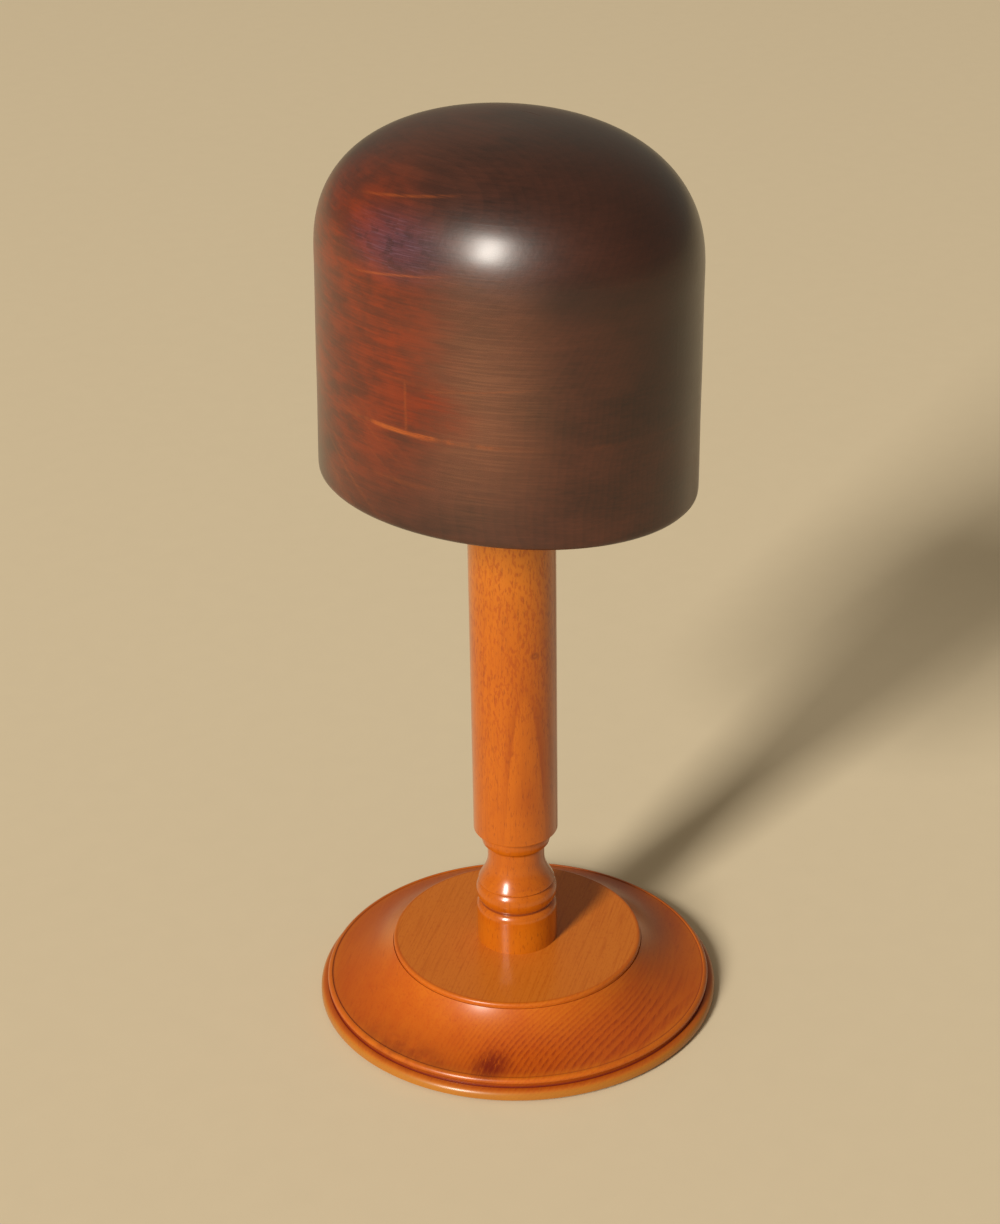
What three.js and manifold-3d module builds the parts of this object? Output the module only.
// A turned wooden wig stand: a dark, oval head block, glued up from boards, on a round post and base.
// Lengths are in millimetres. +Z is up, the origin is on the table under the post, the head faces -Y.
import * as THREE from "three";
import { mergeVertices } from "three/addons/utils/BufferGeometryUtils.js";
import Module from "manifold-3d";

// Fits between pieces
const glue_line = 0.1; // film of glue between flat faces
const seat_gap = 0.3; // round a fixed piece and past the end of a pin
const running_gap = 0.3; // round the spigot and under the head that turns on it
const cut_overrun = 2; // how far a cutting tool runs past a face
const same_point = 0.01; // points of an outline that are closer than this are one

// Base: one board, turned with a raised pad, a hollow apron and a two-part rim
const baize_thickness = 1.2;
const baize_inset = 5;
const base_radius = 101.6;
const base_top_height = 31.1;
const base_foot_height = 1.9; // upright face under the ovolo
const base_foot_chamfer = 0.7;
const ovolo_reach = 3.6; // quarter round of the plinth
const ovolo_drop = 3.4;
const quirk_height = 2.5; // hollow wall between the plinth and the rim bead
const quirk_hollow = 0.4;
const rim_bead_width = 2.2;
const rim_bead_height = 2.2;
const rim_line_depth = 0.4; // fine line inside the rim bead
const pad_radius = 61.9;
const pad_edge_round = 1.5;
const pad_step = 2.6; // from the pad's face down to the apron
const pad_line_depth = 0.35; // fine line round the pad
const apron_bend_share = 0.36; // where the hollow bends, from the pad out
const apron_lip_slope_share = 0.16; // rise over run where the apron meets the rim

// Post: a straight shaft, an undercut bead, a neck, a bell, a ring between two grooves, and a foot
const post_radius = 21.15;
const post_top_height = 288.8;
const post_top_chamfer = 0.6;
const shaft_foot_height = 95.2;
const shaft_foot_round = 0.7;
const shaft_undercut_rise = 0.6; // the step under the shaft slopes up to the bead
const neck_bead_radius = 17.5;
const neck_bead_bulge = 0.6;
const neck_bead_foot_height = 87.7;
const neck_bead_drop = 3;
const neck_radius = 14.3;
const neck_foot_height = 77;
const bell_radius = 19.8;
const upper_groove_height = 64.4;
const lower_groove_height = 53.4;
const groove_depth = 1.1;
const groove_width = 1.6;
const ring_bulge = 0.7;
const foot_radius = 20.5;
const foot_round = 2.6;
const foot_round_turn = 70; // degrees of that round, up to where the groove cuts it

// Tenon under the post, in the base's mortise, drawn down by a wood screw from below
const tenon_radius = 12.7;
const tenon_length = 17;
const tenon_chamfer = 1;
const screw_radius = 2.75;
const screw_length = 50;
const screw_point_length = 9;
const screw_tip_radius = 0.5;
const screw_head_radius = 5.6;
const screw_head_edge = 0.5;
const screw_head_cone = 3;
const screw_slot_width = 1.3;
const screw_slot_depth = 1.5;
const screw_sink = 0.8; // head below the underside of the base

// Spigot on the post, in the head's socket
const spigot_radius = 11;
const spigot_length = 38;
const spigot_chamfer = 1.5;

// Head: an egg-shaped dome, in layers of boards laid flat, two boards to a layer
const head_half_length = 96.7;
const head_half_width = 79.5;
const head_height = 169.8;
const head_lean = 3.8; // how much further forwards the crown lies than the underside
const head_edge_round = 2.5; // along the lower edge
const waist_height = 50;
const crown_start_height = 106.5;
const waist_share = 0.9945; // of the plan at the lower edge
const crown_start_share = 0.989;
const back_swell_share = 0.0315; // how much the plan gains on an ellipse at the back, and loses in front
const crown_plan_power = 2.47; // how full the crown is, in plan and in height
const crown_height_power = 2.42;
// One share to a layer, from below: its joint, off the middle by this share of the half-width, or of the
// half-length where it runs across
const joint_shares = [-0.7, 0.3, -0.13, 0.08, 0.42, -0.04, 0.18];
const layers_to_a_cross_layer = 3;

// Fineness of the faces
const base_segments = 72;
const post_segments = 44;
const head_segments = 72;
const screw_segments = 20;
const fine_steps = 3;
const curve_steps = 6;
const crown_steps = 12;
const wall_steps_to_a_board = 2;
const nearest_ring_share = 0.05; // of a board's thickness, between a ring and the board's face

const wasm = await Module();
wasm.setup();

// A closed geometry as a solid that can be cut
function solidOf(geometry) {
  const bare = geometry.clone();
  bare.deleteAttribute("normal");
  bare.deleteAttribute("uv");
  const merged = mergeVertices(bare);
  return new wasm.Manifold(
    new wasm.Mesh({
      numProp: 3,
      vertProperties: new Float32Array(merged.attributes.position.array),
      triVerts: new Uint32Array(merged.index.array),
    }),
  );
}

// A cut solid back as a geometry
function geometryOf(solid) {
  const mesh = solid.getMesh();
  const geometry = new THREE.BufferGeometry();
  geometry.setAttribute("position", new THREE.BufferAttribute(mesh.vertProperties, mesh.numProp));
  geometry.setIndex(new THREE.BufferAttribute(mesh.triVerts, 1));
  geometry.computeVertexNormals();
  return geometry;
}

const at = (radius, height) => new THREE.Vector2(radius, height);

// A quarter of an ellipse between two angles in degrees
function quarter(radius, height, reach, rise, from, to) {
  const [start, end] = [THREE.MathUtils.degToRad(from), THREE.MathUtils.degToRad(to)];
  return new THREE.EllipseCurve(radius, height, reach, rise, start, end, from > to).getPoints(fine_steps);
}

// A bend from one point to another, drawn towards a third
function bend(from, towards, to, steps = fine_steps) {
  return new THREE.QuadraticBezierCurve(from, towards, to).getPoints(steps);
}

// An S-shaped run that leaves one point and reaches another upright
function swell(from, to) {
  const middle = (from.y + to.y) / 2;
  const [out, back] = [at(from.x, middle), at(to.x, middle)];
  return new THREE.CubicBezierCurve(from, out, back, to).getPoints(curve_steps);
}

// An outline of radius against height, turned about the Z axis
function turned(outline, segments) {
  const points = outline.filter((p, i) => i === 0 || p.distanceTo(outline[i - 1]) > same_point);
  const geometry = new THREE.LatheGeometry(points, segments);
  geometry.rotateX(Math.PI / 2);
  return geometry;
}

// Heights and radii that neighbours share
const base_underside = baize_thickness + glue_line;
const tenon_end = base_top_height - tenon_length;
const screw_head_face = base_underside + screw_sink;
const screw_neck = screw_head_face + screw_head_edge + screw_head_cone;
const screw_tip = screw_head_face + screw_length;
const screw_hole_radius = screw_radius + seat_gap;
const head_underside = post_top_height + running_gap;
const head_top = head_underside + head_height;
const spigot_top = post_top_height + spigot_length;
const socket_radius = spigot_radius + running_gap;
const socket_end = spigot_top + seat_gap;
const board_thickness = head_height / joint_shares.length;

// Base: from the screw hole along the underside, up the mouldings and down the mortise
function baseOutline() {
  const foot_top = base_underside + base_foot_height;
  const ovolo_top = foot_top + ovolo_drop;
  const quirk_radius = base_radius - ovolo_reach;
  const quirk_top = ovolo_top + quirk_height;
  const rim_radius = quirk_radius - rim_bead_width;
  const rim_top = quirk_top + rim_bead_height;
  const pad_edge_radius = pad_radius + pad_edge_round;
  const pad_edge_height = base_top_height - pad_edge_round;
  const apron_top = at(pad_edge_radius + pad_line_depth, base_top_height - pad_step);
  const apron_foot = at(rim_radius - rim_line_depth, rim_top - rim_line_depth);
  const bend_radius = apron_top.x + (apron_foot.x - apron_top.x) * apron_bend_share;
  const lip_rise = (apron_foot.x - bend_radius) * apron_lip_slope_share;
  const sink_radius = screw_head_radius + seat_gap;
  const mortise_radius = tenon_radius + seat_gap;
  const mortise_floor = tenon_end - seat_gap;
  return [
    at(screw_hole_radius, mortise_floor),
    at(screw_hole_radius, screw_neck + seat_gap),
    at(sink_radius, screw_head_face + screw_head_edge + seat_gap),
    at(sink_radius, base_underside),
    at(base_radius - base_foot_chamfer, base_underside),
    at(base_radius, base_underside + base_foot_chamfer),
    ...quarter(quirk_radius, foot_top, ovolo_reach, ovolo_drop, 0, 90),
    ...bend(
      at(quirk_radius - quirk_hollow, ovolo_top),
      at(quirk_radius - 2 * quirk_hollow, (ovolo_top + quirk_top) / 2),
      at(quirk_radius, quirk_top),
    ),
    ...quarter(rim_radius, quirk_top, rim_bead_width, rim_bead_height, 0, 90),
    ...bend(apron_foot, at(bend_radius, apron_foot.y + lip_rise), apron_top, curve_steps),
    at(pad_edge_radius, apron_top.y - pad_line_depth),
    ...quarter(pad_radius, pad_edge_height, pad_edge_round, pad_edge_round, 0, 90),
    at(mortise_radius, base_top_height),
    at(mortise_radius, mortise_floor),
    at(screw_hole_radius, mortise_floor),
  ];
}

// Post: from the screw's pilot hole, up the tenon, the turnings and the shaft to the top of the spigot
function postOutline() {
  const foot_floor = base_top_height + glue_line;
  const half_groove = groove_width / 2;
  const groove_radius = bell_radius - groove_depth;
  const ring_middle = (upper_groove_height + lower_groove_height) / 2;
  const foot_top = lower_groove_height - half_groove;
  const bead_radius = neck_bead_radius - neck_bead_bulge;
  const bead_top = shaft_foot_height + shaft_undercut_rise;
  const bead_middle = (bead_top + neck_bead_foot_height) / 2;
  const neck_top = neck_bead_foot_height - neck_bead_drop;
  const step_radius = post_radius - shaft_foot_round;
  return [
    at(0, screw_tip + seat_gap),
    at(screw_hole_radius, screw_tip + seat_gap),
    at(screw_hole_radius, tenon_end),
    at(tenon_radius - tenon_chamfer, tenon_end),
    at(tenon_radius, tenon_end + tenon_chamfer),
    at(tenon_radius, foot_floor),
    at(foot_radius, foot_floor),
    ...quarter(
      foot_radius - foot_round,
      foot_top - foot_round,
      foot_round,
      foot_round,
      0,
      foot_round_turn,
    ),
    at(groove_radius, lower_groove_height),
    ...bend(
      at(bell_radius, lower_groove_height + half_groove),
      at(bell_radius + 2 * ring_bulge, ring_middle),
      at(bell_radius, upper_groove_height - half_groove),
    ),
    at(groove_radius, upper_groove_height),
    ...swell(at(bell_radius, upper_groove_height + half_groove), at(neck_radius, neck_foot_height)),
    ...quarter(
      bead_radius,
      neck_top,
      bead_radius - neck_radius,
      neck_bead_drop,
      180,
      90,
    ),
    ...bend(
      at(bead_radius, neck_bead_foot_height),
      at(bead_radius + 2 * neck_bead_bulge, bead_middle),
      at(bead_radius, bead_top),
    ),
    ...quarter(step_radius, shaft_foot_height + shaft_foot_round, shaft_foot_round, shaft_foot_round, -90, 0),
    at(post_radius, post_top_height - post_top_chamfer),
    at(post_radius - post_top_chamfer, post_top_height),
    at(spigot_radius, post_top_height),
    at(spigot_radius, spigot_top - spigot_chamfer),
    at(spigot_radius - spigot_chamfer, spigot_top),
    at(0, spigot_top),
  ];
}

// A flat disc that covers the underside and the screw
function baizeOutline() {
  const baize_radius = base_radius - baize_inset;
  return [at(0, 0), at(baize_radius, 0), at(baize_radius, baize_thickness), at(0, baize_thickness)];
}

// A flat-headed wood screw, head down, with a slot across its head
function screw() {
  const outline = [
    at(0, screw_head_face),
    at(screw_head_radius, screw_head_face),
    at(screw_head_radius, screw_head_face + screw_head_edge),
    at(screw_radius, screw_neck),
    at(screw_radius, screw_tip - screw_point_length),
    at(screw_tip_radius, screw_tip),
    at(0, screw_tip),
  ];
  const slot_height = screw_slot_depth + cut_overrun;
  const slot_length = 2 * (screw_head_radius + cut_overrun);
  const slot = new THREE.BoxGeometry(slot_length, screw_slot_width, slot_height);
  slot.translate(0, 0, screw_head_face + screw_slot_depth - slot_height / 2);
  return geometryOf(solidOf(turned(outline, screw_segments)).subtract(solidOf(slot)));
}

// Share of the lower plan that the head's section has at a height above its underside
function headShare(height) {
  const eased = (low, high) => THREE.MathUtils.smoothstep(height, low, high);
  if (height <= crown_start_height) {
    const bulge = (crown_start_share - waist_share) * eased(waist_height, crown_start_height);
    return 1 + (waist_share - 1) * eased(0, waist_height) + bulge;
  }
  const rise = Math.min(1, (height - crown_start_height) / (head_height - crown_start_height));
  return crown_start_share * Math.pow(1 - Math.pow(rise, crown_height_power), 1 / crown_plan_power);
}

// Half the head's width at a height, drawn in where its lower edge is rounded
function headHalfWidth(height) {
  const drop = Math.max(0, 1 - height / head_edge_round);
  const inset = head_edge_round * (1 - Math.sqrt(1 - drop * drop));
  return head_half_width * headShare(height) - inset;
}

// Heights of the head's rings: close together at the rounded edge and where the crown turns over
function ringHeights() {
  const heights = [];
  for (let i = 1; i <= fine_steps; i++) {
    heights.push(head_edge_round * (1 - Math.cos((i / fine_steps) * (Math.PI / 2))));
  }
  const wall_step = board_thickness / wall_steps_to_a_board;
  for (let h = wall_step; h < crown_start_height; h += wall_step) heights.push(h);
  for (let i = 0; i < crown_steps; i++) {
    const rise = Math.pow(Math.sin((i / crown_steps) * (Math.PI / 2)), 2 / crown_height_power);
    heights.push(crown_start_height + (head_height - crown_start_height) * rise);
  }
  return heights.sort((a, b) => a - b);
}

// Draws a round dome out to the head's oval, wider at the back, and leans it forwards
function shapeHead(dome) {
  dome.scale(1, head_half_length / head_half_width, 1);
  const places = dome.getAttribute("position");
  for (let i = 0; i < places.count; i++) {
    const swelled = 1 + (back_swell_share * places.getY(i)) / head_half_length;
    const forward = head_lean * (places.getZ(i) / head_height - 1 / 2);
    places.setXY(i, places.getX(i) * swelled, places.getY(i) - forward);
  }
}

// One layer of the head between two heights
function headLayer(low, high) {
  const spacing = board_thickness * nearest_ring_share;
  const inner = ringHeights().filter((h) => h > low + spacing && h < high - spacing);
  const edge = ringHeights().filter((h) => h > low && h <= Math.min(head_edge_round, high - spacing));
  const heights = [...new Set([low, ...edge, ...inner, high])].sort((a, b) => a - b);
  const wall = heights.filter((h) => h < head_height - same_point).map((h) => at(headHalfWidth(h), h));
  const layer = turned([at(0, low), ...wall, at(0, high)], head_segments);
  shapeHead(layer);
  layer.translate(0, 0, head_underside);
  return solidOf(layer);
}

// A block that holds everything on one side of a layer's joint; side is -1 or 1
function sideOfJoint(joint, is_across, side) {
  const size = 2 * (head_half_length + head_half_width);
  const height = 2 * head_top;
  const block = new THREE.BoxGeometry(size, size, height);
  const offset = joint + side * (size + glue_line) / 2;
  block.translate(is_across ? 0 : offset, is_across ? offset : 0, 0);
  return solidOf(block);
}

// The hole for the spigot, open at the head's underside
function socketTool() {
  const low = head_underside - cut_overrun;
  const outline = [at(0, low), at(socket_radius, low), at(socket_radius, socket_end), at(0, socket_end)];
  return solidOf(turned(outline, post_segments));
}

const dark_mahogany = new THREE.MeshStandardMaterial({ color: 0x4a2819, roughness: 0.4, metalness: 0 });
const red_mahogany = new THREE.MeshStandardMaterial({ color: 0xa84a1c, roughness: 0.25, metalness: 0 });
const orange_oak = new THREE.MeshStandardMaterial({ color: 0xb8601f, roughness: 0.25, metalness: 0 });
const plain_steel = new THREE.MeshStandardMaterial({ color: 0xb0aca4, roughness: 0.4, metalness: 1 });
const green_baize = new THREE.MeshStandardMaterial({ color: 0x24452b, roughness: 0.95, metalness: 0 });

const stand = new THREE.Group();
function add(name, geometry, material) {
  const mesh = new THREE.Mesh(geometry, material);
  mesh.name = name;
  stand.add(mesh);
}

add("baize_disc", turned(baizeOutline(), base_segments), green_baize);
add("base", turned(baseOutline(), base_segments), red_mahogany);
add("base_screw", screw(), plain_steel);
add("post", turned(postOutline(), post_segments), orange_oak);

joint_shares.forEach((joint_share, i) => {
  const low = i === 0 ? 0 : i * board_thickness + glue_line;
  const is_across = i % layers_to_a_cross_layer === layers_to_a_cross_layer - 1;
  const joint = joint_share * (is_across ? head_half_length : head_half_width);
  const layer = headLayer(low, (i + 1) * board_thickness);
  const bored = head_underside + low < socket_end ? layer.subtract(socketTool()) : layer;
  const [first, second] = is_across ? ["front", "back"] : ["left", "right"];
  const board = (side) => geometryOf(bored.intersect(sideOfJoint(joint, is_across, side)));
  add(`head_layer_${i + 1}_${first}`, board(-1), dark_mahogany);
  add(`head_layer_${i + 1}_${second}`, board(1), dark_mahogany);
});

export default stand;
